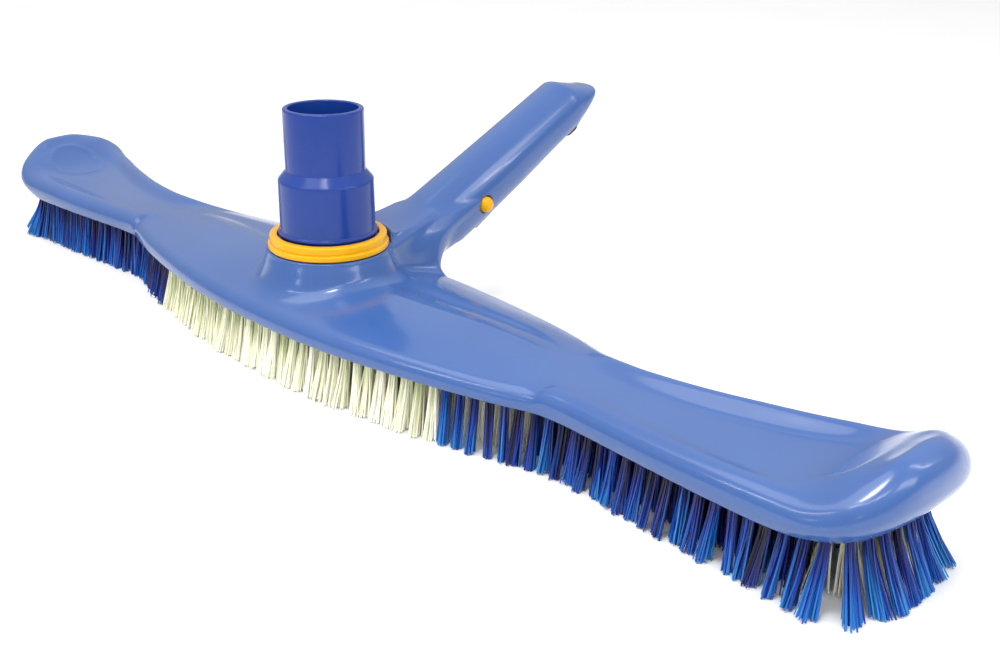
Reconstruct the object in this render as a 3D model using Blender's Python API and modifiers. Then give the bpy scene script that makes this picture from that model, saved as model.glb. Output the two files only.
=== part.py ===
"""Pool wall brush with a swivelling hose connector: a hollow moulded head with a channel handle,
a screwed base plate carrying rows of bristle tufts, a swivel cuff held by a ring, and a sprung
two-button clip in the handle. Metres, +Z up, bristle tips on Z = 0, left-right symmetric about X = 0.
The origin is the bottom centre of the whole brush; shapes are worked out from the swivel's axis, which
stands ORIGIN_Y in front of it."""

import math

import bmesh
import bpy
from mathutils import Matrix, Vector

MM = 0.001

# ---- driving dimensions (millimetres) ----
TIP_X = 254.0          # half the overall length
ORIGIN_Y = 58.1        # from the swivel's axis back to the middle of the whole brush
Z_LOW = 22.0           # lower edge of the moulding, above the bristle tips
WALL = 2.4             # wall of the moulding
SKIRT_IN = 3.0         # wall thickness of the skirt round the base plate
END_X = 226.0          # where the rounded ends begin
END_FRONT_Y, END_BACK_Y = -22.4, 35.4
PLATE_Z, PLATE_T = 22.2, 2.0
PLATE_GAP = 0.4
BRISTLE_TIP = 0.0
TUFT_W = 4.4           # width of a row of tufts
RING_Z = 45.7          # underside of the retaining ring
HUB_BASE_Z = 33.5
BORE_R = 18.8          # bore of the hub
NECK_R = 21.9
CUFF_LOW_R = 18.75     # fits a 38 mm hose end
CUFF_UP_R = 15.6       # fits a 32 mm hose end
CUFF_BORE_R = 13.3
CUFF_TOP_Z = 100.9
BETA = math.radians(26.9)   # rise of the handle
AXIS_Z0 = 14.6         # height of the handle's axis above Y = 0
BUTTON_S, BUTTON_N = 82.8, -1.5
BUTTON_R = 3.5

# lower outline of the head, X then Y, right half
FRONT = [(0, -37.5), (20, -37.1), (40, -35.6), (60, -32.9), (80, -29.2), (100, -24.8), (112, -21.8),
         (122, -18.8), (129, -16.7), (136, -16.4), (148, -17.2), (165, -18.7), (185, -20.4), (205, -21.7), (END_X, END_FRONT_Y)]
BACK = [(0, 45.5), (25, 45.0), (50, 43.2), (75, 40.4), (95, 37.4), (108, 34.0), (117, 29.6), (125, 24.2),
        (133, 20.6), (145, 19.6), (160, 20.6), (175, 22.6), (190, 25.9), (205, 29.8), (216, 33.0), (END_X, END_BACK_Y)]
RIM_TOP = [(0, 28.7), (112, 28.5), (124, 29.2), (130, 30.6), (137, 31.6), (150, 31.8), (178, 32.2), (205, 33.2), (226, 35.0), (234, 37.4), (240, 40.5), (246, 43.8), (254, 46.6)]
BACK_TOP = [(0, 27.4), (100, 27.2), (114, 28.6), (126, 33.0), (140, 35.4), (180, 36.2), (205, 36.4), (216, 36.8), (226, 37.6), (234, 39.4), (240, 41.6), (246, 43.6), (254, 46.6)]
RIDGE_Z = [(0, 36.0), (30, 36.0), (70, 35.2), (100, 33.4), (118, 32.2), (134, 31.4), (150, 31.0), (200, 31.4), (216, 32.8), (224, 34.8), (230, 37.6), (236, 41.4), (241, 44.4), (246, 46.8), (254, 47.2)]
RIDGE_Y = [(0, -3.0), (42, -2.0), (108, 7.0), (134, 3.0), (160, 2.0), (200, 4.0), (254, 5.6)]
GROOVE_D = [(0, 1.8), (90, 1.4), (120, 0.0), (254, 0.0)]
EDGE_R = [(0, 3.2), (112, 3.4), (126, 5.0), (140, 6.5), (254, 7.0)]
UNDERCUT = [(0, 0.4), (120, 0.5), (140, 1.0), (215, 1.6), (240, 5.0), (254, 6.5)]
LOW_RISE = [(0, 0.0), (222, 0.0), (240, 0.8), (254, 1.8)]


def lerp_table(table, x):
    """Monotone cubic through a table of (x, value)."""
    x = min(max(x, table[0][0]), table[-1][0])
    n = len(table)
    slopes = [(table[i + 1][1] - table[i][1]) / (table[i + 1][0] - table[i][0]) for i in range(n - 1)]

    def tangent(i):
        if i == 0:
            return 0.0 if table[0][0] == 0 else slopes[0]
        if i == n - 1:
            return slopes[-1]
        a, b = slopes[i - 1], slopes[i]
        if a * b <= 0:
            return 0.0
        return 3 * a * b / (max(a, b) + 2 * min(a, b)) if a > 0 else -3 * a * b / (max(-a, -b) + 2 * min(-a, -b))

    for i in range(n - 1):
        if x <= table[i + 1][0]:
            h = table[i + 1][0] - table[i][0]
            t = (x - table[i][0]) / h
            m0, m1 = tangent(i) * h, tangent(i + 1) * h
            t2, t3 = t * t, t * t * t
            return (2 * t3 - 3 * t2 + 1) * table[i][1] + (t3 - 2 * t2 + t) * m0 + (-2 * t3 + 3 * t2) * table[i + 1][1] + (t3 - t2) * m1
    return table[-1][1]


def half_outline(n_front=20, n_end=12, n_back=20):
    """Points (x, y) of the right half, from the front centre round the end to the back centre."""
    pts = []
    for i in range(n_front):
        x = END_X * i / n_front
        pts.append((x, lerp_table(FRONT, x)))
    yc, hy = (END_FRONT_Y + END_BACK_Y) / 2, (END_BACK_Y - END_FRONT_Y) / 2
    e = 2 / 2.25
    for i in range(n_end + 1):
        t = -math.pi / 2 + math.pi * i / n_end
        c, s = math.cos(t), math.sin(t)
        pts.append((END_X + (TIP_X - END_X) * max(c, 0.0) ** e, yc + hy * math.copysign(abs(s) ** e, s)))
    for i in range(1, n_back + 1):
        x = END_X * (1 - i / n_back)
        pts.append((x, lerp_table(BACK, x)))
    return pts


def inward(pts):
    """Unit inward normals of the half outline."""
    out = []
    for i, p in enumerate(pts):
        a = pts[i - 1] if i else (-pts[1][0], pts[1][1])
        b = pts[i + 1] if i + 1 < len(pts) else (-pts[-2][0], pts[-2][1])
        dx, dy = b[0] - a[0], b[1] - a[1]
        length = math.hypot(dx, dy)
        out.append((-dy / length, dx / length))
    return out


def spine(x, y):
    """The point of the head's centre line that an outline point is joined to."""
    limit = TIP_X - 29.0
    sx = min(x, limit)
    if x > END_X - 12:
        t = min((x - END_X + 12) / (TIP_X - END_X + 12), 1.0)
        sx = END_X - 12 + (limit - END_X + 12) * t
    return sx, lerp_table(RIDGE_Y, sx)


def crown(x, y, side):
    """Height of the top surface; side is -1 for the front half and 1 for the back."""
    edge_y = lerp_table(FRONT if side < 0 else BACK, min(x, END_X))
    if x > END_X:
        yc, hy = (END_FRONT_Y + END_BACK_Y) / 2, (END_BACK_Y - END_FRONT_Y) / 2
        c = min((x - END_X) / (TIP_X - END_X), 0.999)
        edge_y = yc + side * hy * (1 - c ** 2.25) ** (1 / 2.25)
    ridge_y = lerp_table(RIDGE_Y, x)
    rim = lerp_table(RIM_TOP if side < 0 else BACK_TOP, x)
    ridge = lerp_table(RIDGE_Z, x)
    span = edge_y - ridge_y
    t = min(max((edge_y - y) / span if abs(span) > 0.5 else 1.0, 0.0), 1.0)   # 0 at the edge, 1 at the ridge
    if x > 128:
        s = t * t * (3 - 2 * t)
        z = rim + (ridge - rim) * s
    else:
        z = rim + (ridge - rim) * math.sin(t * math.pi / 2)
    if side > 0:
        dip = lerp_table(GROOVE_D, x)
        z -= dip * math.exp(-(((t - 0.72) / 0.13) ** 2))
    return z


def head_rings(outline, normals, inset=0.0, drop=0.0, bottom=None, simple=False, spine_inset=0.0):
    """Rows of points from the lower edge up the side and over the top to the centre line."""
    rows = []
    for (x, y), (nx, ny) in zip(outline, normals):
        side = -1 if (y < lerp_table(RIDGE_Y, min(x, TIP_X - 29))) else 1
        px, py = x + nx * inset, y + ny * inset
        r = max(lerp_table(EDGE_R, x) - inset * 0.7, 1.0)
        under = lerp_table(UNDERCUT, x)
        low = Z_LOW + lerp_table(LOW_RISE, x) if bottom is None else bottom
        top0 = crown(x, y, side) - drop
        sx, sy = spine(x, y)
        if x < 1e-6:
            nx, px, sx = 0.0, 0.0, 0.0
        reach = max(math.hypot(sx - px, sy - py), 2.0)
        row = []

        def add(d, z):
            f = min(d / reach, 1.0)
            qx, qy = px + nx * d, py + ny * d
            # swing from the edge normal to the line to the spine
            lx, ly = px + (sx - px) * f, py + (sy - py) * f
            w = min(f * 1.6, 1.0)
            row.append((qx * (1 - w) + lx * w, qy * (1 - w) + ly * w, z))

        wall_top = top0 - r
        mid = low + (wall_top - low) * 0.55
        add(under, low)
        if bottom is None:
            add(0.0, mid)
        else:
            edge = Z_LOW + lerp_table(LOW_RISE, x)
            add(under, edge)
            add(0.0, edge + (wall_top - edge) * 0.55)
        add(0.0, wall_top)
        for a in ((30, 60, 90) if not simple else (45, 90)):
            t = math.radians(a)
            d = r * (1 - math.cos(t))
            add(d, wall_top + r * math.sin(t))
        # the flat of the rim follows the top surface
        row[-1] = (row[-1][0], row[-1][1], crown(row[-1][0], row[-1][1], side) - drop)
        d90 = r
        fs = (0.2, 0.42, 0.66, 0.84, 1.0) if not simple else (0.45, 1.0)
        for f in fs:
            d = d90 + (reach - d90) * f
            add(d, 0.0)
            qx, qy, _ = row[-1]
            row[-1] = (qx, qy, crown(qx, qy, side) - drop)
        rows.append(row)
    return rows


def grid_solid(rows):
    """A closed half: the grid, and a floor from its lower edge. Open on X = 0 for the Mirror."""
    bm = bmesh.new()
    grid = [[bm.verts.new([c * MM for c in p]) for p in row] for row in rows]
    for a, b in zip(grid, grid[1:]):
        for i in range(len(a) - 1):
            quad = [a[i], b[i], b[i + 1], a[i + 1]]
            bm.faces.new(quad)
    # floor: join front and back lower edges, pair by pair
    lows = [row[0] for row in grid]
    i, j = 0, len(lows) - 1
    while j - i > 1:
        if j - i == 2:
            bm.faces.new([lows[i], lows[j], lows[i + 1]])
            break
        if lows[i + 1].co.x <= lows[j - 1].co.x:
            bm.faces.new([lows[i], lows[j], lows[i + 1]])
            i += 1
        else:
            bm.faces.new([lows[i], lows[j], lows[j - 1]])
            j -= 1
    bmesh.ops.remove_doubles(bm, verts=bm.verts, dist=2e-5)
    bmesh.ops.recalc_face_normals(bm, faces=bm.faces)
    return bm


# ---- scene set-up ----
for old in list(bpy.data.objects):
    bpy.data.objects.remove(old, do_unlink=True)
scene = bpy.context.scene
scene.unit_settings.system = "METRIC"
scene.unit_settings.scale_length = 1.0
parts = bpy.data.collections.new("pool_wall_brush")
helpers = bpy.data.collections.new("cutters")
scene.collection.children.link(parts)
scene.collection.children.link(helpers)
helpers.hide_render = True

MATERIALS = {
    "blue_gloss": (0.052, 0.125, 0.44, 0.2), "blue_cuff": (0.035, 0.085, 0.36, 0.25), "orange": (0.95, 0.36, 0.02, 0.3),
    "black_plastic": (0.01, 0.01, 0.012, 0.4), "bristle_blue": (0.01, 0.1, 0.42, 0.5), "bristle_white": (0.9, 0.9, 0.75, 0.5),
    "plate_blue": (0.04, 0.1, 0.38, 0.4), "washer": (0.75, 0.75, 0.73, 0.5), "screw": (0.6, 0.6, 0.6, 0.3),
}
MATS = {}
for mat_name, (cr, cg, cb, rough) in MATERIALS.items():
    mat = bpy.data.materials.new(mat_name)
    mat.use_nodes = True
    bsdf = mat.node_tree.nodes["Principled BSDF"]
    bsdf.inputs["Base Color"].default_value = (cr, cg, cb, 1)
    bsdf.inputs["Roughness"].default_value = rough
    bsdf.inputs["Metallic"].default_value = 1.0 if mat_name == "screw" else 0.0
    MATS[mat_name] = mat


def obj_from_bm(name, bm, material=None, helper=False):
    mesh = bpy.data.meshes.new(name)
    bm.to_mesh(mesh)
    bm.free()
    return add_object(name, mesh, material, helper)


def add_object(name, mesh, material=None, helper=False):
    obj = bpy.data.objects.new(name, mesh)
    if material:
        mesh.materials.append(MATS[material])
    (helpers if helper else parts).objects.link(obj)
    if helper:
        obj.hide_render = True
        obj.display_type = "WIRE"
    return obj


def select_only(obj):
    bpy.context.view_layer.update()
    for other in bpy.context.selected_objects:
        other.select_set(False)
    obj.select_set(True)
    bpy.context.view_layer.objects.active = obj


def apply_modifiers(obj):
    """Turns the object's modifiers into its mesh."""
    bpy.context.view_layer.update()
    graph = bpy.context.evaluated_depsgraph_get()
    fresh = bpy.data.meshes.new_from_object(obj.evaluated_get(graph))
    obj.modifiers.clear()
    obj.data = fresh
    return obj


def boolean(obj, other, operation="DIFFERENCE", solver="EXACT"):
    mod = obj.modifiers.new(operation.lower(), "BOOLEAN")
    mod.operation = operation
    mod.solver = solver
    mod.object = other
    apply_modifiers(obj)
    return obj


def clean(obj, dist=2e-5):
    bm = bmesh.new()
    bm.from_mesh(obj.data)
    bmesh.ops.remove_doubles(bm, verts=bm.verts, dist=dist)
    bmesh.ops.dissolve_degenerate(bm, edges=bm.edges, dist=1e-6)
    bm.to_mesh(obj.data)
    bm.free()


def mirrored(name, bm, helper=True, material=None):
    obj = obj_from_bm(name, bm, material, helper)
    mod = obj.modifiers.new("mirror", "MIRROR")
    mod.use_axis = (True, False, False)
    mod.use_clip = True
    mod.merge_threshold = 2e-5
    apply_modifiers(obj)
    bm2 = bmesh.new()
    bm2.from_mesh(obj.data)
    bmesh.ops.remove_doubles(bm2, verts=bm2.verts, dist=2e-5)
    bmesh.ops.recalc_face_normals(bm2, faces=bm2.faces)
    bm2.to_mesh(obj.data)
    bm2.free()
    return obj


def turned(name, profile, steps=48, material=None, helper=False):
    """Profile of (r, z) points from top to bottom on the outer side, turned about Z."""
    mesh = bpy.data.meshes.new(name)
    pts = [(r * MM, 0.0, z * MM) for r, z in profile]
    closed = profile[0][0] > 1e-6
    edges = [(i, i + 1) for i in range(len(pts) - 1)] + ([(len(pts) - 1, 0)] if closed else [])
    mesh.from_pydata(pts, edges, [])
    obj = add_object(name, mesh, None, helper)
    mod = obj.modifiers.new("screw", "SCREW")
    mod.axis = "Z"
    mod.steps = mod.render_steps = steps
    mod.use_merge_vertices = True
    mod.merge_threshold = 1e-6
    mod.use_smooth_shade = False
    apply_modifiers(obj)
    bm = bmesh.new()
    bm.from_mesh(obj.data)
    bmesh.ops.remove_doubles(bm, verts=bm.verts, dist=1e-6)
    bmesh.ops.recalc_face_normals(bm, faces=bm.faces)
    bm.to_mesh(obj.data)
    bm.free()
    if material:
        obj.data.materials.append(MATS[material])
    return obj


def loft(name, sections, material=None, helper=False):
    """A closed solid through closed sections of equal length, capped at both ends."""
    bm = bmesh.new()
    loops = [[bm.verts.new([c * MM for c in p]) for p in section] for section in sections]
    n = len(loops[0])
    for a, b in zip(loops, loops[1:]):
        for i in range(n):
            bm.faces.new([a[i], a[(i + 1) % n], b[(i + 1) % n], b[i]])
    bm.faces.new(list(reversed(loops[0])))
    bm.faces.new(loops[-1])
    bmesh.ops.recalc_face_normals(bm, faces=bm.faces)
    return obj_from_bm(name, bm, material, helper)


def prism(name, outline, z0, z1, material=None, helper=False):
    """A flat outline of (x, y) pulled from z0 to z1."""
    bm = bmesh.new()
    low = [bm.verts.new((x * MM, y * MM, z0 * MM)) for x, y in outline]
    face = bm.faces.new(low)
    pulled = bmesh.ops.extrude_face_region(bm, geom=[face])
    verts = [v for v in pulled["geom"] if isinstance(v, bmesh.types.BMVert)]
    bmesh.ops.translate(bm, verts=verts, vec=(0, 0, (z1 - z0) * MM))
    bmesh.ops.recalc_face_normals(bm, faces=bm.faces)
    return obj_from_bm(name, bm, material, helper)


def cylinder(name, r, z0, z1, x=0.0, y=0.0, segments=20, r2=None, material=None, helper=True):
    bm = bmesh.new()
    bmesh.ops.create_cone(bm, cap_ends=True, segments=segments, radius1=r * MM, radius2=(r if r2 is None else r2) * MM,
                          depth=(z1 - z0) * MM)
    bmesh.ops.translate(bm, verts=bm.verts, vec=(x * MM, y * MM, (z0 + z1) / 2 * MM))
    return obj_from_bm(name, bm, material, helper)


def on_axis(s, n, x=0.0):
    """A point of the handle: s along its axis, n above it, x to the side."""
    return (x, s * math.cos(BETA) - n * math.sin(BETA), AXIS_Z0 + s * math.sin(BETA) + n * math.cos(BETA))


HALF = half_outline()
NORM = inward(HALF)

# ---- head: outer form, hub, pedestal, handle, then everything cut away ----
body = mirrored("body_shell", grid_solid(head_rings(HALF, NORM)), helper=False)

hub = turned("hub_form", [(0, 50.0), (24.3, 50.0), (24.4, 45.2), (25.2, 43.0), (26.2, 39.5), (27.4, 36.5),
                          (29.2, 34.2), (31.5, 32.6), (33.0, 28.0), (0, 28.0)], steps=56, helper=True)

# handle: stations of (s, top, bottom, half width, exponent)
STATIONS = [(16, 15.6, 2.0, 15.0, 2.6), (34, 15.4, -5.0, 14.9, 2.5), (52, 15.0, -10.0, 14.8, 2.2), (61, 14.85, -11.9, 14.7, 2.1), (67, 14.7, -13.5, 14.6, 2.1), (98, 14.0, -14, 14.0, 2.05),
            (134, 13.1, -13.1, 13.1, 2.05), (150, 12.6, -12.5, 12.9, 2.05), (153.2, 12.3, -11.2, 12.8, 2.1), (157, 9.7, -9.3, 12.5, 2.2),
            (161, 6.8, -7.5, 11.9, 2.2), (165, 3.9, -5.7, 10.7, 2.2), (168, 2.0, -4.4, 9.2, 2.1), (170.2, 0.7, -3.2, 7.0, 2.0), (171.3, -0.3, -2.0, 4.6, 2.0)]


def handle_section(s, top, low, half, power, count=28):
    pts = []
    mid, rise = (top + low) / 2, (top - low) / 2
    for i in range(count):
        a = 2 * math.pi * i / count
        c, q = math.cos(a), math.sin(a)
        pts.append(on_axis(s, mid + rise * math.copysign(abs(q) ** (2 / power), q), half * math.copysign(abs(c) ** (2 / power), c)))
    return pts


handle = loft("handle_form", [handle_section(*station) for station in STATIONS], helper=True)

# pedestal under the root of the handle: level, back edge, half width at the back
PEDESTAL = [(26.0, 44.0, 22.5), (30.0, 44.6, 20.6), (34.0, 45.8, 18.6), (38.0, 47.2, 17.0), (42.0, 49.6, 15.6), (45.5, 54.0, 14.4), (47.5, 59.5, 13.2)]


def pedestal_section(z, back, half):
    front_half = 13.0
    pts = [(-front_half, 6.0, z), (-front_half, 20.0, z), (-(front_half + half) / 2 + 0.6, 31.0, z), (-half, back - 4.5, z), (-half + 1.3, back - 1.3, z), (-half + 4.5, back, z)]
    return pts + [(-x, y, z) for x, y, z in reversed(pts)]


pedestal = loft("pedestal_form", [pedestal_section(*level) for level in PEDESTAL], helper=True)

for other in (hub, handle, pedestal):
    boolean(body, other, "UNION")

# hollow of the head: a smaller head, open below, less the bosses of the screws
SCREW_AT = [(-218, 5.5), (-108, 4), (-62, 21), (-62, -11.5), (62, -11.5), (62, 21), (108, 4), (218, 5.5)]
HALF_IN = half_outline(16, 10, 16)
hollow = mirrored("hollow", grid_solid(head_rings(HALF_IN, inward(HALF_IN), inset=SKIRT_IN, drop=WALL, bottom=4.0, simple=True)))
for k, (bx, by) in enumerate(SCREW_AT):
    boss = cylinder(f"boss_{k}", 3.4, PLATE_Z + PLATE_T + 0.3, 60.0, bx, by, segments=16)
    boolean(hollow, boss)
boolean(body, hollow)

# bore, neck and seat of the swivel
seat = turned("seat", [(0, 76), (24.7, 76), (24.7, RING_Z - 0.1), (NECK_R, RING_Z - 0.1), (NECK_R, 47.2), (BORE_R, 47.2), (BORE_R, 3), (0, 3)], steps=56, helper=True)
boolean(body, seat)


def channel_box(name, s0, s1, half, top, low, top1=None):
    top1 = top if top1 is None else top1
    sections = []
    for s, t in ((s0, top), (s1, top1)):
        pts = [(-half, low), (half, low), (half, t - 5.5), (half - 1.6, t - 2.0), (half - 4.8, t), (-half + 4.8, t), (-half + 1.6, t - 2.0), (-half, t - 5.5)]
        sections.append([on_axis(s, n, x) for x, n in pts])
    return loft(name, sections, helper=True)


boolean(body, channel_box("channel", 62.0, 150.0, 10.4, 10.6, -24.0, 9.6))
boolean(body, channel_box("channel_nose", 148.3, 160.4, 8.7, 8.1, -25.0, 3.1))
# flat underside of the channel's walls
under = []
for s in (63.3, 152.2):
    low = -11.6 if s < 100 else -10.7
    under.append([on_axis(s, n, x) for x, n in ((-20, -30), (20, -30), (20, low), (-20, low))])
boolean(body, loft("underside", under, helper=True))


def side_bore(name, r, x0, x1, s, n, segments=24):
    bm = bmesh.new()
    bmesh.ops.create_cone(bm, cap_ends=True, segments=segments, radius1=r * MM, radius2=r * MM, depth=abs(x1 - x0) * MM)
    turn = Matrix.Translation(Vector(on_axis(s, n, (x0 + x1) / 2)) * MM) @ Matrix.Rotation(math.pi / 2, 4, "Y")
    bmesh.ops.transform(bm, matrix=turn, verts=bm.verts)
    return obj_from_bm(name, bm, helper=True)


boolean(body, side_bore("button_bore", BUTTON_R + 0.4, -22, 22, BUTTON_S, BUTTON_N))
for k, (bx, by) in enumerate(SCREW_AT):
    boolean(body, cylinder(f"pilot_{k}", 1.6, 16.0, 31.5, bx, by, segments=10))
clean(body)
body.data.materials.clear()
body.data.materials.append(MATS["blue_gloss"])


# ---- base plate with its suction slot and screw holes ----
def offset_outline(pts, extra, undercut=True):
    """The right half of the lower edge, moved in by extra plus the undercut of the side."""
    out = []
    for (x, y), (nx, ny) in zip(pts, inward(pts)):
        d = extra + (lerp_table(UNDERCUT, x) if undercut else 0.0)
        out.append(((x + nx * d) if x > 1e-6 else 0.0, y + ny * d))
    return out


def both_sides(half):
    return half + [(-x, y) for x, y in reversed(half) if x > 1e-6]


def thinned(pts, close=0.4):
    out = [pts[0]]
    for p in pts[1:]:
        if math.hypot(p[0] - out[-1][0], p[1] - out[-1][1]) > close:
            out.append(p)
    return out


plate = prism("base_plate", both_sides(thinned(offset_outline(half_outline(16, 10, 16), SKIRT_IN + PLATE_GAP))), PLATE_Z, PLATE_Z + PLATE_T, "plate_blue")


def stadium(x0, x1, y0, y1, n=6):
    r = (y1 - y0) / 2
    pts = []
    for i in range(n + 1):
        a = -math.pi / 2 + math.pi * i / n
        pts.append((x1 - r + r * math.cos(a), (y0 + y1) / 2 + r * math.sin(a)))
    for i in range(n + 1):
        a = math.pi / 2 + math.pi * i / n
        pts.append((x0 + r + r * math.cos(a), (y0 + y1) / 2 + r * math.sin(a)))
    return pts


for k, slot in enumerate(((-46, 46, -12.0, 16.0), (-98, -72, 0.0, 12.0), (72, 98, 0.0, 12.0))):
    boolean(plate, prism(f"slot_{k}", stadium(*slot), PLATE_Z - 2, PLATE_Z + PLATE_T + 2, helper=True))
for k, (bx, by) in enumerate(SCREW_AT):
    boolean(plate, cylinder(f"plate_hole_{k}", 1.7, PLATE_Z - 2, PLATE_Z + PLATE_T + 2, bx, by, segments=12))
    boolean(plate, cylinder(f"plate_sink_{k}", 3.3, PLATE_Z - 2, PLATE_Z + 1.1, bx, by, segments=16))
clean(plate)
plate.data.materials.clear()
plate.data.materials.append(MATS["plate_blue"])

for k, (bx, by) in enumerate(SCREW_AT):
    z = PLATE_Z + 0.05
    screw = turned(f"plate_screw_{k + 1}", [(0, z + 8.6), (0.5, z + 8.2), (1.3, z + 6.6), (1.3, z + 0.75), (2.9, z + 0.75), (2.9, z + 0.3), (2.4, z), (0, z)], steps=12, material="screw")
    screw.location = (bx * MM, by * MM, 0)

# ---- rows of bristles: solid envelopes of the rows, tips on Z = 0 ----
TOP_Z = PLATE_Z - 0.3
OUTER_IN, INNER_IN = 4.2, 11.6
WHITE_OUTER, WHITE_INNER = 88.0, 118.0


def strip(name, half_pts, a, b, material, splay=1.2, end_splay=0.0):
    """A row of tufts along part of the lower edge, between insets a and b; it widens to its tips and leans out at the ends."""
    sections = []
    for (x, y), (nx, ny) in half_pts:
        u = lerp_table(UNDERCUT, abs(x))
        t = min(max((abs(x) - END_X) / 16, 0.0), 1.0)
        lean = end_splay * t * t * (3 - 2 * t)
        corners = [(a + u, TOP_Z), (b + u, TOP_Z), (b + u + 0.3 - lean, BRISTLE_TIP), (a + u - splay - lean, BRISTLE_TIP)]
        sections.append([((x + nx * d), y + ny * d, z) for d, z in corners])
    return loft(name, sections, material)


def run_between(x0, x1, side, count):
    """Points and normals on the front (side -1) or back (side 1) lower edge from x0 to x1."""
    out = []
    table = FRONT if side < 0 else BACK
    for i in range(count + 1):
        x = x0 + (x1 - x0) * i / count
        ax = abs(x)
        y = lerp_table(table, ax)
        e = 0.5
        dy = (lerp_table(table, min(ax + e, END_X)) - lerp_table(table, max(ax - e, 0.0))) / (min(ax + e, END_X) - max(ax - e, 0.0))
        dy = dy if x >= 0 else -dy
        if ax < 1e-6:
            dy = 0.0
        length = math.hypot(1.0, dy)
        n = (-dy / length, 1.0 / length) if side < 0 else (dy / length, -1.0 / length)
        out.append(((x, y), n))
    return out


def end_run(sign):
    """Points and normals round one end."""
    pts = half_outline(20, 16, 20)
    return [((sign * x, y), (sign * nx, ny)) for (x, y), (nx, ny) in zip(pts, inward(pts)) if x >= END_X - 1e-6]


for label, a, white, end_material in (("outer", OUTER_IN, WHITE_OUTER, "bristle_blue"), ("inner", INNER_IN, WHITE_INNER, "bristle_white")):
    b = a + TUFT_W
    gap = 0.4
    for face, side in (("front", -1), ("back", 1)):
        strip(f"bristles_{label}_{face}_center", run_between(-white + gap, white - gap, side, 14), a, b, "bristle_white")
        strip(f"bristles_{label}_{face}_right", run_between(white + gap, END_X - 2.2, side, 12), a, b, "bristle_blue")
        strip(f"bristles_{label}_{face}_left", run_between(-white - gap, -END_X + 2.2, side, 12), a, b, "bristle_blue")
    lean = 5.0 if label == "outer" else 2.5
    strip(f"bristles_{label}_end_right", end_run(1), a, b, end_material, end_splay=lean)
    strip(f"bristles_{label}_end_left", end_run(-1), a, b, end_material, end_splay=lean)

for word, sign in (("right", 1), ("left", -1)):
    sections = []
    for x in (174, 185, 196, 208):
        d = INNER_IN + TUFT_W + 0.3 + lerp_table(UNDERCUT, x) + 0.8
        y0, y1 = lerp_table(FRONT, x) + d, lerp_table(BACK, x) - d * 1.06
        sections.append([(sign * x, y0, TOP_Z), (sign * x, y1, TOP_Z), (sign * x, y1, BRISTLE_TIP), (sign * x, y0, BRISTLE_TIP)])
    loft(f"bristles_middle_{word}", sections, "bristle_blue")

# ---- swivel: hose cuff, washer and retaining ring ----
turned("hose_connector", [
    (13.7, CUFF_TOP_Z), (15.1, CUFF_TOP_Z), (15.6, 100.4), (CUFF_UP_R, 77.0), (18.4, 73.2), (CUFF_LOW_R, 72.6), (CUFF_LOW_R, 53.5),
    (19.6, 53.0), (19.6, 52.1), (CUFF_LOW_R, 51.8), (CUFF_LOW_R, 49.8), (21.3, 49.8), (21.3, 48.3), (18.3, 48.3), (18.3, 37.0),
    (15.6, 37.0), (15.6, 70.0), (CUFF_BORE_R, 78.5), (CUFF_BORE_R, 100.5)], steps=48, material="blue_cuff")
turned("swivel_washer", [(18.95, 48.0), (21.5, 48.0), (21.5, 47.5), (18.95, 47.5)], steps=36, material="washer")
turned("retaining_ring", [
    (20.15, 51.1), (20.6, 51.5), (22.5, 51.5), (23.2, 50.8), (23.2, 48.9), (22.8, 48.5), (23.2, 48.2), (23.9, 47.8), (23.9, 46.3), (23.5, 45.9),
    (22.2, 45.9), (22.2, 50.1), (20.15, 50.1)], steps=56, material="orange")

# ---- clip and buttons in the handle's channel ----
CLIP_T = 0.9
CLIP = [(76.0, 8.9, -13.0, 2.4), (90.0, 8.3, -12.6, 2.4), (98.0, 8.0, -8.6, 1.4), (140.0, 5.9, -8.6, 0.6), (147.0, 5.6, -11.8, 0.2), (151.0, 5.2, -12.2, 0.0)]
path = [(s, x, lo, hi, 0.0, 1.0) for s, x, lo, hi in CLIP]
for i in range(1, 6):
    a = math.pi * i / 6
    path.append((151.0 + 5.2 * math.sin(a), 5.2 * math.cos(a), -12.2, 0.0, math.sin(a), math.cos(a)))
path += [(s, -x, lo, hi, 0.0, -1.0) for s, x, lo, hi in reversed(CLIP)]
loft("v_clip", [[on_axis(s + ds * side * CLIP_T, n, x + dx * side * CLIP_T) for side, n in ((-1, lo), (1, lo), (1, hi), (-1, hi))]
                for s, x, lo, hi, ds, dx in path], "black_plastic")

for word, sign in (("right", 1), ("left", -1)):
    button = turned(f"button_{word}", [(0, 6.9), (1.2, 6.75), (2.3, 6.2), (3.1, 5.2), (BUTTON_R, 3.9), (BUTTON_R, 0.0), (0, 0.0)], steps=28, material="orange")
    tilt = Matrix.Rotation(sign * math.pi / 2, 4, "Y")
    button.matrix_world = Matrix.Translation(Vector(on_axis(BUTTON_S, BUTTON_N, sign * 10.0)) * MM) @ tilt

for obj in list(helpers.objects):
    bpy.data.objects.remove(obj, do_unlink=True)
bpy.data.collections.remove(helpers)

# every piece hangs on one empty that stands on the swivel's axis
swivel_axis = bpy.data.objects.new("swivel_axis", None)
parts.objects.link(swivel_axis)
swivel_axis.location = (0, -ORIGIN_Y * MM, 0)
for obj in list(parts.objects):
    if obj.type == "MESH":
        obj.parent = swivel_axis
ROUND = ("hose_connector", "swivel_washer", "retaining_ring", "button", "plate_screw", "body_shell")
for obj in parts.objects:
    if obj.type == "MESH" and obj.name.startswith(ROUND):
        obj.data.shade_smooth()
        obj.data.set_sharp_from_angle(angle=math.radians(28))
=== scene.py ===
"""Looks of the pool wall brush: a finely modelled moulding, turned cuff and ring, and separate bristle
filaments in tufts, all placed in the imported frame. Lengths below are millimetres from the swivel's axis,
bristle tips on Z = 0; to_frame() turns them into the frame's metres."""

import math
import time

import bpy
import numpy as np
from mathutils import Matrix, Vector


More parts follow.
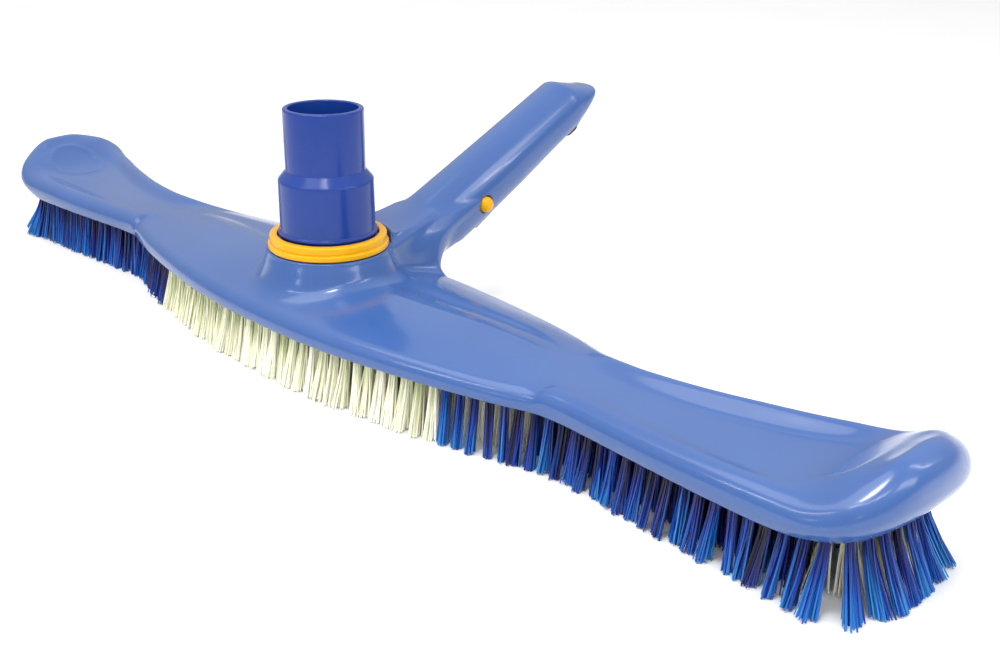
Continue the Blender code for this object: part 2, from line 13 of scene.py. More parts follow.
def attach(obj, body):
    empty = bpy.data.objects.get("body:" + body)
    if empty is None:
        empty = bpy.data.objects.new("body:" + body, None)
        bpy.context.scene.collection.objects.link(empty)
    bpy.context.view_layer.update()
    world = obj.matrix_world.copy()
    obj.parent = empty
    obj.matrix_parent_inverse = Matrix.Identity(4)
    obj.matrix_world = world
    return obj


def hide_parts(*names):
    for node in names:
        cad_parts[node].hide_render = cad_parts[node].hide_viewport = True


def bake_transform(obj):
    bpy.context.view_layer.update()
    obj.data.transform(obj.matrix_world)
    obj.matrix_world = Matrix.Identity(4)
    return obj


T0 = time.time()
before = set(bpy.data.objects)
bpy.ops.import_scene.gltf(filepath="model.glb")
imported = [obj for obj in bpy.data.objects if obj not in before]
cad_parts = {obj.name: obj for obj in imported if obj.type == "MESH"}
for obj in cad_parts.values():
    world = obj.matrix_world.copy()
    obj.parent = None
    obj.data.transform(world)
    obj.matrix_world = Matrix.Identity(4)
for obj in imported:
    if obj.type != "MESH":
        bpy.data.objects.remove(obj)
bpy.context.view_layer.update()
ORIGIN_Y = 58.1
MM = 0.001
rng = np.random.default_rng(20)
FINE = 0.72     # spacing of the surface's sample grid


def to_frame(points):
    """Millimetres from the swivel's axis to metres in the row frame."""
    return (np.asarray(points, float) - (0.0, ORIGIN_Y, 0.0)) * MM


# ------------------------------------------------------------------ outline and heights of the head
TIP_X, Z_LOW, END_X = 254.0, 22.0, 226.0
FRONT = [(0, -37.5), (20, -37.1), (40, -35.6), (60, -32.9), (80, -29.2), (100, -24.8), (112, -21.8),
         (122, -18.8), (129, -16.7), (136, -16.4), (148, -17.2), (165, -18.7), (185, -20.4), (205, -21.7), (226, -22.4)]
BACK = [(0, 45.5), (25, 45.0), (50, 43.2), (75, 40.4), (95, 37.4), (108, 34.0), (117, 29.6), (125, 24.2),
        (133, 20.6), (145, 19.6), (160, 20.6), (175, 22.6), (190, 25.9), (205, 29.8), (216, 33.0), (226, 35.4)]
END = [(226, -22.4), (232, -22.3), (238, -21.2), (243.5, -18.2), (248, -13.2), (251.3, -6.0), (253.2, 2.5), (254.1, 12),
       (254.1, 21), (252.6, 29), (249.2, 34.8), (244.2, 38.0), (238.6, 38.6), (233, 37.4), (226, 35.4)]
RIM_TOP = [(0, 28.7), (112, 28.5), (124.5, 28.9), (130, 31.0), (137, 31.7), (150, 31.8), (178, 32.2), (205, 33.2), (226, 34.0), (234, 36.0), (240, 39.5), (246, 43.0), (250, 45.0), (254, 47.0)]
BACK_TOP = [(0, 27.4), (100, 27.2), (114, 28.6), (126, 33.0), (140, 35.4), (180, 36.2), (205, 36.4), (216, 36.8), (226, 37.2), (234, 38.8), (240, 41.0), (246, 42.6), (250, 43.8), (254, 45.0)]
RIDGE_Z = [(0, 36.0), (30, 36.0), (70, 35.2), (100, 33.4), (118, 32.2), (134, 31.4), (150, 31.0), (200, 31.4), (216, 32.6), (224, 34.4), (230, 37.4), (236, 41.4), (241, 45.0), (245, 47.4), (250, 48.0), (254, 47.8)]
RIDGE_Y = [(0, -3.0), (42, -2.0), (108, 7.0), (134, 3.0), (160, 2.0), (200, 4.0), (254, 5.6)]
GROOVE_D = [(0, 1.0), (90, 0.8), (120, 0.0), (254, 0.0)]
EDGE_R = [(0, 4.0), (112, 4.2), (126, 5.0), (140, 6.5), (225, 7.5), (240, 9.5), (254, 10.5)]
UNDERCUT = [(0, 0.4), (120, 0.5), (140, 1.0), (215, 1.4), (226, 2.2), (236, 6.0), (246, 8.6), (254, 9.2)]
LOW_RISE = [(0, 0.0), (222, 0.0), (240, 0.8), (254, 1.8)]


class Curve:
    """A smooth even function through a table of (x, value), read with its slope."""

    def __init__(self, table, soft=3.0, even=True, step=0.25, low=0.0, high=None):
        xs, vs = np.array(table, float).T
        high = xs[-1] if high is None else high
        pad = 6 * soft
        self.low, self.step = (-pad if even else low - pad), step
        grid = np.arange(self.low, high + pad, step)
        at = np.abs(grid) if even else grid
        value = self.pchip(xs, vs, np.clip(at, xs[0], xs[-1]))
        # past the last point the curve goes on with its last slope, so that smoothing keeps its shape there
        end = (vs[-1] - vs[-2]) / (xs[-1] - xs[-2])
        value = value + np.maximum(at - xs[-1], 0) * end
        if not even:
            start = (vs[1] - vs[0]) / (xs[1] - xs[0])
            value = value + np.minimum(at - xs[0], 0) * start
        if soft > 0:
            half = int(4 * soft / step)
            k = np.exp(-0.5 * (np.arange(-half, half + 1) * step / soft) ** 2)
            value = np.convolve(np.pad(value, half, mode="edge"), k / k.sum(), mode="valid")
        self.value, self.slope = value, np.gradient(value, step)

    @staticmethod
    def pchip(xs, vs, x):
        h = np.diff(xs)
        d = np.diff(vs) / h
        m = np.zeros(len(xs))
        for i in range(1, len(xs) - 1):
            if d[i - 1] * d[i] > 0:
                w1, w2 = 2 * h[i] + h[i - 1], h[i] + 2 * h[i - 1]
                m[i] = (w1 + w2) / (w1 / d[i - 1] + w2 / d[i])
        m[-1] = d[-1]
        i = np.clip(np.searchsorted(xs, x, side="right") - 1, 0, len(xs) - 2)
        t = (x - xs[i]) / h[i]
        return ((2 * t**3 - 3 * t**2 + 1) * vs[i] + (t**3 - 2 * t**2 + t) * h[i] * m[i]
                + (-2 * t**3 + 3 * t**2) * vs[i + 1] + (t**3 - t**2) * h[i] * m[i + 1])

    def __call__(self, x):
        f = np.clip((np.asarray(x, float) - self.low) / self.step, 0, len(self.value) - 1.001)
        i = f.astype(int)
        t = f - i
        a, b = self.value[i], self.value[i + 1]
        ma, mb = self.slope[i] * self.step, self.slope[i + 1] * self.step
        return (2 * t**3 - 3 * t**2 + 1) * a + (t**3 - 2 * t**2 + t) * ma + (-2 * t**3 + 3 * t**2) * b + (t**3 - t**2) * mb


front, back = Curve(FRONT, 2.2), Curve(BACK, 3.0)
rim_top, back_top = Curve(RIM_TOP, 1.9), Curve(BACK_TOP, 3.5)
ridge_z, ridge_y = Curve(RIDGE_Z, 4.0), Curve(RIDGE_Y, 8.0)
groove_d, edge_r, undercut, low_rise = Curve(GROOVE_D, 5), Curve(EDGE_R, 3), Curve(UNDERCUT, 4), Curve(LOW_RISE, 4)
END_FRONT_Y, END_BACK_Y = float(front(END_X)), float(back(END_X))


def outline(n=900):
    """The closed lower outline of the head, evenly stepped, smoothed where the ends begin."""
    xs = np.linspace(0, END_X - 2, 400, endpoint=False)
    knots = np.array([(220, front(220))] + END + [(220, back(220))], float)
    ends = []
    for i in range(1, len(knots) - 2):
        a, b, c, d = knots[i - 1:i + 3]
        for t in np.linspace(0, 1, 12, endpoint=False):
            ends.append(0.5 * (2 * b + (c - a) * t + (2 * a - 5 * b + 4 * c - d) * t * t + (3 * b - a - 3 * c + d) * t**3))
    half = np.concatenate([np.stack([xs, front(xs)], 1), np.array(ends), np.stack([xs[::-1], back(xs[::-1])], 1)])
    whole = np.concatenate([half, half[-2:0:-1] * (-1, 1)])
    ring = np.vstack([whole, whole[:1]])
    s = np.concatenate([[0], np.cumsum(np.hypot(*np.diff(ring, axis=0).T))])
    at = np.linspace(0, s[-1], n * 3, endpoint=False)
    pts = np.stack([np.interp(at, s, ring[:, 0]), np.interp(at, s, ring[:, 1])], 1)
    step = s[-1] / (n * 3)
    k = np.exp(-0.5 * (np.fft.fftfreq(n * 3) * n * 3 * step / 1.6) ** 2)
    k = np.fft.fft(k / k.sum())
    return np.stack([np.real(np.fft.ifft(np.fft.fft(pts[:, i]) * k)) for i in (0, 1)], 1)


OUTLINE = outline()


class Plane:
    """A function of (x, y) held on a grid and read back with a smooth cubic."""

    def __init__(self, x0, y0, step, values):
        self.x0, self.y0, self.step, self.v = x0, y0, step, values

    def __call__(self, x, y):
        fx = np.clip((x - self.x0) / self.step, 1.001, self.v.shape[0] - 2.001)
        fy = np.clip((y - self.y0) / self.step, 1.001, self.v.shape[1] - 2.001)
        ix, iy = fx.astype(np.int64), fy.astype(np.int64)
        wx, wy = self.weights(fx - ix), self.weights(fy - iy)
        out = 0.0
        flat = self.v.reshape(-1)
        for a in range(4):
            row = (ix + a - 1) * self.v.shape[1]
            part = 0.0
            for b in range(4):
                part = part + wy[b] * flat[row + iy + b - 1]
            out = out + wx[a] * part
        return out

    @staticmethod
    def weights(t):
        """Cubic B-spline weights: a little smoothing, and a surface with no kinks."""
        return ((1 - t) ** 3 / 6, (3 * t**3 - 6 * t**2 + 4) / 6, (-3 * t**3 + 3 * t**2 + 3 * t + 1) / 6, t**3 / 6)


def plan_distance():
    """Signed distance to the lower outline, positive inside."""
    step = 1.5
    xs, ys = np.arange(-262.5, 262.6, step), np.arange(-46.5, 55.6, step)
    gx, gy = np.meshgrid(xs, ys, indexing="ij")
    g = np.stack([gx.ravel(), gy.ravel()], 1).astype(np.float32)
    p = OUTLINE.astype(np.float32)
    q = np.roll(p, -1, axis=0)
    d2 = np.empty(len(g), np.float32)
    inside = np.zeros(len(g), bool)
    seg = q - p
    length2 = (seg**2).sum(1)
    for i in range(0, len(g), 1500):
        c = g[i:i + 1500, None, :]
        rel = c - p[None]
        t = np.clip((rel * seg[None]).sum(2) / length2, 0, 1)
        d2[i:i + 1500] = ((rel - seg[None] * t[..., None]) ** 2).sum(2).min(1)
        cross = ((p[None, :, 1] > c[..., 1]) != (q[None, :, 1] > c[..., 1]))
        xi = p[None, :, 0] + (c[..., 1] - p[None, :, 1]) / np.where(np.abs(seg[None, :, 1]) < 1e-9, 1e-9, seg[None, :, 1]) * seg[None, :, 0]
        inside[i:i + 1500] = (cross & (c[..., 0] < xi)).sum(1) % 2 == 1
    d = np.sqrt(d2) * np.where(inside, 1, -1)
    return Plane(xs[0], ys[0], step, d.reshape(gx.shape).astype(float))


PLAN = plan_distance()


def smoothstep(x, a, b):
    t = np.clip((x - a) / (b - a), 0, 1)
    return t * t * (3 - 2 * t)


def top_surface():
    """Height of the head's top over the plan."""
    step = 0.75
    xs, ys = np.arange(-259.5, 259.6, step), np.arange(-45, 54.1, step)
    x, y = np.meshgrid(xs, ys, indexing="ij")
    ax = np.minimum(np.abs(x), TIP_X)
    ry = ridge_y(ax)
    rz = ridge_z(ax)
    edge_f, edge_b = front(np.minimum(ax, END_X)), back(np.minimum(ax, END_X))
    tf = np.clip((y - edge_f) / np.maximum(ry - edge_f, 0.5), 0, 1)
    tb = np.clip((edge_b - y) / np.maximum(edge_b - ry, 0.5), 0, 1)
    zf = rim_top(ax) + (rz - rim_top(ax)) * np.sin(tf * math.pi / 2)
    zb = back_top(ax) + (rz - back_top(ax)) * np.sin(tb * math.pi / 2)
    zb = zb - groove_d(ax) * np.exp(-(((tb - 0.72) / 0.13) ** 2))
    middle = np.where(y < ry, zf, zb)
    # each paddle is dished: a roll stands round its edge, and its end sweeps up
    d = PLAN(x, y)
    across = smoothstep(y, -8, 24)
    rim = rim_top(ax) * (1 - across) + back_top(ax) * across
    hump = smoothstep(y, -15, 1) * (1 - smoothstep(y, 11, 32)) * smoothstep(ax, 234, 246)
    rim = rim + (rz - rim) * hump
    inner = 12.5 + 5.0 * smoothstep(ax, 215, 240)
    dish = rz + (rim - rz) * (1 - smoothstep(d, 3.5, inner))
    paddle = smoothstep(ax, 119, 132)
    z = middle * (1 - paddle) + dish * paddle
    # the narrow bead along the ridge
    bead = smoothstep(ax, 30, 44) * (1 - smoothstep(ax, 104, 124))
    z = z + 0.32 * bead * np.exp(-(((y - ry) / 2.4) ** 2))
    # the paddle's front roll ends in a small groove, deeper on the left
    notch = np.exp(-(((ax - 127.5 - 0.25 * (y + 16)) / 1.7) ** 2)) * (1 - smoothstep(d, 5.0, 12.0)) * (y < ry)
    z = z - np.where(x < 0, 0.95, 0.3) * notch
    # raised circle on the left end
    r = np.hypot(x + 226, (y - 5) / 1.0)
    z = z + 0.42 * np.exp(-(((r - 12.3) / 1.0) ** 2)) - 0.25 * (1 - smoothstep(r, 9.5, 11.5))
    return Plane(xs[0], ys[0], step, z)


TOP = top_surface()


def slope_of(plane, x, y, e=0.6):
    gx = (plane(x + e, y) - plane(x - e, y)) / (2 * e)
    gy = (plane(x, y + e) - plane(x, y - e)) / (2 * e)
    return np.sqrt(1 + gx * gx + gy * gy)


def round_and(a, b, r):
    """Intersection of two fields with a rounded edge."""
    u, v = np.maximum(a + r, 0), np.maximum(b + r, 0)
    return np.minimum(np.maximum(a, b), -r) + np.hypot(u, v)


def round_or(a, b, r):
    """Union of two fields with a fillet."""
    return -round_and(-a, -b, r)


def head_field(x, y, z, inset=0.0, drop=0.0, floor=None):
    ax = np.abs(x)
    d = PLAN(x, y) - inset
    under = undercut(ax)
    low = Z_LOW + low_rise(ax)
    top = TOP(x, y) - drop
    mid = low + np.maximum(top - low, 4.0) * 0.5
    k = np.clip((mid - z) / np.maximum(mid - low, 1.0), 0, 1.3)
    a = -(d - under * k * k)
    steep = slope_of(TOP, x, y)
    b = (z - top) / steep
    r = np.maximum(edge_r(ax) - inset * 0.7, 1.0)
    f = round_and(a, b, r)
    c = (low if floor is None else floor) - z
    return round_and(f, c, 0.7) if floor is None else np.maximum(f, c)


# ------------------------------------------------------------------ hub, pedestal and handle
BETA, AXIS_Z0 = math.radians(26.9), 14.6
COS_B, SIN_B = math.cos(BETA), math.sin(BETA)
HUB = Curve([(20, 34.0), (28, 32.4), (31, 30.8), (33.5, 29.4), (36.5, 27.7), (39.5, 26.5), (43.0, 25.3), (45.2, 24.5), (50.0, 24.35), (54, 24.3)], 0.8, even=False, low=20)
STATIONS = [(16, 15.6, 2.0, 15.0, 2.6), (34, 15.4, -5.0, 14.9, 2.5), (52, 15.0, -10.0, 14.8, 2.2), (61, 14.85, -11.9, 14.7, 2.1), (67, 14.7, -13.5, 14.6, 2.1), (98, 14.0, -14, 14.0, 2.05),
            (134, 13.1, -13.1, 13.1, 2.05), (150, 12.6, -12.5, 12.9, 2.05), (153.2, 12.3, -11.2, 12.8, 2.1), (157, 9.7, -9.3, 12.5, 2.2),
            (161, 6.8, -7.5, 11.9, 2.2), (165, 3.9, -5.7, 10.7, 2.2), (168, 2.0, -4.4, 9.2, 2.1), (170.2, 0.7, -3.2, 7.0, 2.0), (171.3, -0.3, -2.0, 4.6, 2.0)]
st = np.array(STATIONS)
H_TOP, H_LOW, H_HALF, H_POW = (Curve(list(zip(st[:, 0], st[:, i])), 0.7, even=False, low=16) for i in (1, 2, 3, 4))
PEDESTAL = np.array([(26.0, 44.0, 22.5), (30.0, 44.6, 20.6), (34.0, 45.8, 18.6), (38.0, 47.2, 17.0), (42.0, 49.6, 15.6), (45.5, 54.0, 14.4), (47.5, 59.5, 13.2)])
P_BACK, P_HALF = (Curve(list(zip(PEDESTAL[:, 0], PEDESTAL[:, i])), 1.0, even=False, low=26) for i in (1, 2))
BUTTON_S, BUTTON_N, BUTTON_R = 82.8, -1.5, 3.5


def handle_frame(y, z):
    """Distance along the handle's axis, and above it."""
    return y * COS_B + (z - AXIS_Z0) * SIN_B, -y * SIN_B + (z - AXIS_Z0) * COS_B


def handle_field(x, y, z):
    s, n = handle_frame(y, z)
    sc = np.clip(s, 10, 171.2)
    top, low, half, power = H_TOP(sc), H_LOW(sc), H_HALF(sc), H_POW(sc)
    mid, rise = (top + low) / 2, np.maximum((top - low) / 2, 0.6)
    half = np.maximum(half, 2.0)
    u, v = np.abs(x) / half + 1e-6, np.abs(n - mid) / rise + 1e-6
    q = (u**power + v**power) ** (1 / power)
    gu = (u / q) ** (power - 1) / half
    gv = (v / q) ** (power - 1) / rise
    f = (q - 1) / np.hypot(gu, gv)
    f = np.maximum(f, (s - 171.2))
    return np.maximum(f, (14 - s))


def pedestal_field(x, y, z):
    yb, hw = P_BACK(z), P_HALF(z)
    w = 13.0 + (hw - 13.0) * np.clip((y - 20) / (yb - 24.5), 0, 1)
    side = (np.abs(x) - w) * 0.97
    rear = (y - yb) * 0.86
    f = round_and(side, rear, 4.5)
    return np.maximum(np.maximum(f, 8.0 - y), np.maximum(24.0 - z, z - 48.5))


def collar_field(x, y, z):
    """The ramp from the ring up to the handle's crest."""
    r = np.hypot(x, y)
    top = 45.3 + np.clip((r - 24.7) * 0.33, 0, 7.0)
    side = np.abs(x) - (17.6 - 0.16 * np.clip(y - 15, 0, 40))
    f = round_and((z - top) * 0.95, side, 2.6)
    f = np.maximum(f, 12.0 - y)
    f = np.maximum(f, (y - 47.0))
    return np.maximum(f, 34.0 - z)


SCREW_AT = [(-218, 5.5), (-108, 4), (-62, 21), (-62, -11.5), (62, -11.5), (62, 21), (108, 4), (218, 5.5)]


def body_field(p):
    x, y, z = p[:, 0], p[:, 1], p[:, 2]
    head = head_field(x, y, z)
    r = np.hypot(x, y)
    hub = np.maximum((r - HUB(z)) * 0.94, np.maximum(z - 52.0, 23.0 - z))
    f = round_or(head, hub, 3.2)
    # the handle, its pedestal and the collar
    near = (np.abs(x) < 40) & (y > 0)
    if near.any():
        xn, yn, zn = x[near], y[near], z[near]
        arm = handle_field(xn, yn, zn)
        arm = round_or(arm, pedestal_field(xn, yn, zn), 6.5)
        g = round_or(f[near], arm, 3.5)
        g = round_or(g, collar_field(xn, yn, zn), 1.6)
        f = f.copy()
        f[near] = g
    # the hollow under the head, less the screw bosses
    hollow = head_field(x, y, z, inset=3.0, drop=2.4, floor=4.0)
    for bx, by in SCREW_AT:
        boss = np.maximum(np.hypot(x - bx, y - by) - 3.4, 24.5 - z)
        hollow = np.maximum(hollow, -boss)
    f = round_and(f, -hollow, 0.35)
    # the swivel's seat, neck and bore
    seat = np.maximum(r - 24.7, 45.6 - z)
    neck = np.maximum(r - 18.8, 3.0 - z)
    f = round_and(f, -seat, 0.4)
    ring_neck = np.maximum(np.maximum(r - 21.9, 44.0 - z), z - 47.2)
    f = round_or(f, ring_neck, 0.3)
    f = round_and(f, -neck, 0.35)
    if near.any():
        xn, yn, zn = x[near], y[near], z[near]
        s, n = handle_frame(yn, zn)
        width = 10.4
        roof = 9.6 - (s - 62) / 88 * 1.6
        channel = round_and(np.abs(xn) - width, n - roof, 5.5)
        channel = np.maximum(channel, np.maximum(62.0 - s, s - 150.0))
        nose_roof = 7.4 - (s - 148.3) / 12.1 * 5.6
        nose = round_and(np.abs(xn) - 8.7, n - nose_roof, 3.5)
        nose = np.maximum(nose, np.maximum(148.3 - s, s - 160.4))
        g = f[near]
        g = round_and(g, -np.minimum(channel, nose), 0.5)
        low = np.where(s < 108, -11.6 + (s - 63.3) * 0.0101, -11.15 + (s - 108) * 0.0101)
        low = low - 1.7 * smoothstep(s, 60, 66) * (1 - smoothstep(s, 92, 108))
        flat = np.maximum(n - low, np.maximum(63.3 - s, s - 152.2))
        g = round_and(g, -flat, 0.6)
        bore = np.hypot(s - BUTTON_S, n - BUTTON_N) - (BUTTON_R + 0.4)
        bore = np.maximum(bore, 5.0 - np.abs(xn))
        g = round_and(g, -bore, 0.35)
        f[near] = g
    for bx, by in SCREW_AT:
        pilot = np.maximum(np.hypot(x - bx, y - by) - 1.6, z - 31.5)
        f = np.maximum(f, -pilot)
    return f


def surface_of(field, low, high, h):
    """Points and quads of field = 0 inside a box: surface nets on a grid, points then moved onto the surface."""
    low, high = np.array(low, float), np.array(high, float)
    n = np.ceil((high - low) / h).astype(int) + 1
    block = 8
    nb = np.ceil((n - 1) / block).astype(int)
    n = nb * block + 1
    values = np.full(tuple(n), 1.0, np.float32)
    centres = np.stack(np.meshgrid(*[np.arange(k) for k in nb], indexing="ij"), -1).reshape(-1, 3)
    reach = block * h * 0.87 * 1.25 + 1.0
    mid = low + (centres * block + block / 2) * h
    at_mid = np.concatenate([field(mid[i:i + 200000]) for i in range(0, len(mid), 200000)])
    far = np.abs(at_mid) > reach
    for c, v in zip(centres[far], at_mid[far]):
        if v < 0:
            i, j, k = c * block
            values[i:i + block + 1, j:j + block + 1, k:k + block + 1] = -1.0
    keep = centres[~far]
    off = np.stack(np.meshgrid(*[np.arange(block + 1)] * 3, indexing="ij"), -1).reshape(-1, 3)
    for i in range(0, len(keep), 400):
        idx = (keep[i:i + 400, None, :] * block + off[None]).reshape(-1, 3)
        v = field(low + idx * h)
        values[idx[:, 0], idx[:, 1], idx[:, 2]] = v
    inside = values < 0
    # cells that the surface passes through
    corners = [(a, b, c) for a in (0, 1) for b in (0, 1) for c in (0, 1)]
    m = [s - 1 for s in values.shape]
    count = np.zeros(m, np.int8)
    for a, b, c in corners:
        count += inside[a:a + m[0], b:b + m[1], c:c + m[2]]
    active = (count > 0) & (count < 8)
    index = np.full(m, -1, np.int64)
    cells = np.argwhere(active)
    index[active] = np.arange(len(cells))
    total, weight = np.zeros((len(cells), 3)), np.zeros(len(cells))
    for a in corners:
        for axis in range(3):
            if a[axis]:
                continue
            b = list(a)
            b[axis] = 1
            va = values[cells[:, 0] + a[0], cells[:, 1] + a[1], cells[:, 2] + a[2]]
            vb = values[cells[:, 0] + b[0], cells[:, 1] + b[1], cells[:, 2] + b[2]]
            hit = (va < 0) != (vb < 0)
            t = np.where(hit, va / np.where(hit, va - vb, 1), 0)
            pos = np.array(a, float)[None] + np.zeros((len(cells), 3))
            pos[:, axis] += t
            total[hit] += pos[hit]
            weight[hit] += 1
    points = low + (cells + total / weight[:, None]) * h
    quads = []
    for axis in range(3):
        u, w = (axis + 1) % 3, (axis + 2) % 3
        sl = [slice(None)] * 3
        sl[axis] = slice(0, values.shape[axis] - 1)
        a = inside[tuple(sl)]
        sl[axis] = slice(1, values.shape[axis])
        b = inside[tuple(sl)]
        edge = np.argwhere(a != b)
        ok = (edge[:, u] > 0) & (edge[:, w] > 0) & (edge[:, u] < m[u]) & (edge[:, w] < m[w])
        edge = edge[ok]
        first = a[edge[:, 0], edge[:, 1], edge[:, 2]]
        ring = []
        for du, dw in ((0, 0), (-1, 0), (-1, -1), (0, -1)):
            c = edge.copy()
            c[:, u] += du
            c[:, w] += dw
            ring.append(index[c[:, 0], c[:, 1], c[:, 2]])
        q = np.stack(ring, 1)
        q = np.where(first[:, None], q, q[:, ::-1])
        quads.append(q)
    quads = np.concatenate(quads)
    quads = quads[(quads >= 0).all(1)]

    def gradient(p, e):
        g = np.empty_like(p)
        for i in range(3):
            d = np.zeros(3)
            d[i] = e
            g[:, i] = (field(p + d) - field(p - d)) / (2 * e)
        return g

    for _ in range(3):
        g = gradient(points, 0.12)
        g2 = np.maximum((g * g).sum(1), 0.05)
        step = (field(points) / g2)[:, None] * g
        size = np.linalg.norm(step, axis=1)
        step *= np.minimum(1, 0.45 * h / np.maximum(size, 1e-9))[:, None]
        points = points - step
    g = gradient(points, 0.16)
    normals = g / np.maximum(np.linalg.norm(g, axis=1), 1e-9)[:, None]
    return points, quads, normals


# ------------------------------------------------------------------ materials
def new_material(name):
    mat = bpy.data.materials.new(name)
    mat.use_nodes = True
    nodes, links = mat.node_tree.nodes, mat.node_tree.links
    return mat, nodes, links, nodes["Principled BSDF"]


def noise(nodes, links, scale, detail=2.0, rough=0.5, vector=None):
    n = nodes.new("ShaderNodeTexNoise")
    n.inputs["Scale"].default_value = scale
    n.inputs["Detail"].default_value = detail
    n.inputs["Roughness"].default_value = rough
    if vector is not None:
        links.new(vector, n.inputs["Vector"])
    return n.outputs["Fac"]


def ramp(nodes, links, source, stops):
    r = nodes.new("ShaderNodeValToRGB")
    links.new(source, r.inputs["Fac"])
    elements = r.color_ramp.elements
    while len(elements) < len(stops):
        elements.new(0.5)
    for e, (at, colour) in zip(elements, stops):
        e.position = at
        e.color = (*colour, 1)
    return r.outputs["Color"]


def plastic(name, colour, dark, roughness=0.2, wave=0.012, fine=0.004, coat=0.0, spec=0.5):
    """Moulded plastic: colour drifts a little, the gloss is uneven, with faint flow waves and fine scratches."""
    mat, nodes, links, bsdf = new_material(name)
    coord = nodes.new("ShaderNodeTexCoord").outputs["Object"]
    drift = noise(nodes, links, 24.0, 3.0, 0.5, coord)
    links.new(ramp(nodes, links, drift, [(0.3, dark), (0.7, colour)]), bsdf.inputs["Base Color"])
    gloss = noise(nodes, links, 90.0, 4.0, 0.6, coord)
    m = nodes.new("ShaderNodeMapRange")
    links.new(gloss, m.inputs["Value"])
    m.inputs["From Min"].default_value, m.inputs["From Max"].default_value = 0.3, 0.7
    m.inputs["To Min"].default_value, m.inputs["To Max"].default_value = roughness * 0.82, roughness * 1.25
    links.new(m.outputs["Result"], bsdf.inputs["Roughness"])
    bsdf.inputs["Specular IOR Level"].default_value = spec
    if coat:
        bsdf.inputs["Coat Weight"].default_value = coat
        bsdf.inputs["Coat Roughness"].default_value = 0.08
    b1 = nodes.new("ShaderNodeBump")
    b1.inputs["Distance"].default_value = 0.001
    b1.inputs["Strength"].default_value = wave
    links.new(noise(nodes, links, 55.0, 2.0, 0.45, coord), b1.inputs["Height"])
    b2 = nodes.new("ShaderNodeBump")
    b2.inputs["Distance"].default_value = 0.0002
    b2.inputs["Strength"].default_value = fine
    links.new(noise(nodes, links, 1400.0, 2.0, 0.6, coord), b2.inputs["Height"])
    links.new(b1.outputs["Normal"], b2.inputs["Normal"])
    links.new(b2.outputs["Normal"], bsdf.inputs["Normal"])
    return mat


def srgb(r, g, b):
    return tuple(((c / 255) / 12.92 if c / 255 <= 0.04045 else ((c / 255 + 0.055) / 1.055) ** 2.4) for c in (r, g, b))


BLUE = plastic("moulded_blue", srgb(59, 94, 155), srgb(55, 89, 150), 0.2, 0.012, 0.01, coat=0.28, spec=0.46)
CUFF_BLUE = plastic("cuff_blue", srgb(22, 58, 138), srgb(19, 52, 132), 0.2, 0.012, 0.02, coat=0.1, spec=0.32)
PLATE_BLUE = plastic("plate_blue", srgb(44, 76, 146), srgb(40, 70, 138), 0.4, 0.02, 0.05)
ORANGE = plastic("ring_orange", srgb(236, 174, 2), srgb(230, 160, 1), 0.28, 0.012, 0.03, coat=0.05, spec=0.25)
BLACK = plastic("clip_black", srgb(20, 20, 23), srgb(14, 14, 16), 0.34, 0.02, 0.05)
WASHER = plastic("washer_grey", srgb(214, 214, 208), srgb(200, 200, 196), 0.45, 0.02, 0.03)


def steel(name):
    mat, nodes, links, bsdf = new_material(name)
    coord = nodes.new("ShaderNodeTexCoord").outputs["Object"]
    bsdf.inputs["Metallic"].default_value = 1.0
    links.new(ramp(nodes, links, noise(nodes, links, 300, 4, 0.6, coord), [(0.3, (0.45, 0.45, 0.46)), (0.7, (0.66, 0.66, 0.67))]), bsdf.inputs["Base Color"])
    bsdf.inputs["Roughness"].default_value = 0.3
    return mat


STEEL = steel("screw_steel")


def bristle_material(name, colours, roughness=0.38, through=0.0):
    """Nylon filament: each has a colour of its own, with painted shade at the root giving way to painted light towards
    the tip.
    """
    mat, nodes, links, bsdf = new_material(name)
    tint_and_shade = nodes.new("ShaderNodeAttribute")
    tint_and_shade.attribute_name = "tint_and_shade"
    stops = [(i / (len(colours) - 1), c) for i, c in enumerate(colours)]
    links.new(ramp(nodes, links, tint_and_shade.outputs["Fac"], stops), bsdf.inputs["Base Color"])
    bsdf.inputs["Roughness"].default_value = roughness
    bsdf.inputs["Specular IOR Level"].default_value = 0.4
    if through:
        bsdf.inputs["Subsurface Weight"].default_value = through
        bsdf.inputs["Subsurface Radius"].default_value = (0.002, 0.002, 0.0014)
        bsdf.inputs["Subsurface Scale"].default_value = 0.6
    return mat


# Each ramp runs from painted shade to painted light: its darkest stops (near-black navy, olive) are painted shade and
# its palest stops are painted highlight.
BRISTLE_BLUE = bristle_material("bristle_blue", [srgb(6, 8, 28), srgb(30, 34, 112), srgb(24, 62, 160), srgb(18, 98, 186), srgb(44, 138, 206)])
BRISTLE_WHITE = bristle_material("bristle_white", [srgb(176, 184, 132), srgb(238, 240, 204), srgb(254, 252, 228), srgb(255, 255, 242)], 0.45)


# ------------------------------------------------------------------ mesh helpers
def mesh_object(name, points, faces, material, normals=None, smooth=True):
    """faces is an (n, k) array of point numbers."""
    mesh = bpy.data.meshes.new(name)
    points = np.asarray(points, np.float32)
    faces = np.asarray(faces, np.int32)
    k = faces.shape[1]
    mesh.vertices.add(len(points))
    mesh.vertices.foreach_set("co", points.ravel())
    mesh.loops.add(faces.size)
    mesh.loops.foreach_set("vertex_index", faces.ravel())
    mesh.polygons.add(len(faces))
    mesh.polygons.foreach_set("loop_start", np.arange(0, faces.size, k, dtype=np.int32))
    mesh.update(calc_edges=True)
    mesh.validate()
    mesh.materials.append(material)
    if smooth:
        mesh.shade_smooth()
    if normals is not None:
        mesh.normals_split_custom_set_from_vertices(np.asarray(normals, np.float32).tolist())
    obj = bpy.data.objects.new(name, mesh)
    bpy.context.scene.collection.objects.link(obj)
    return obj


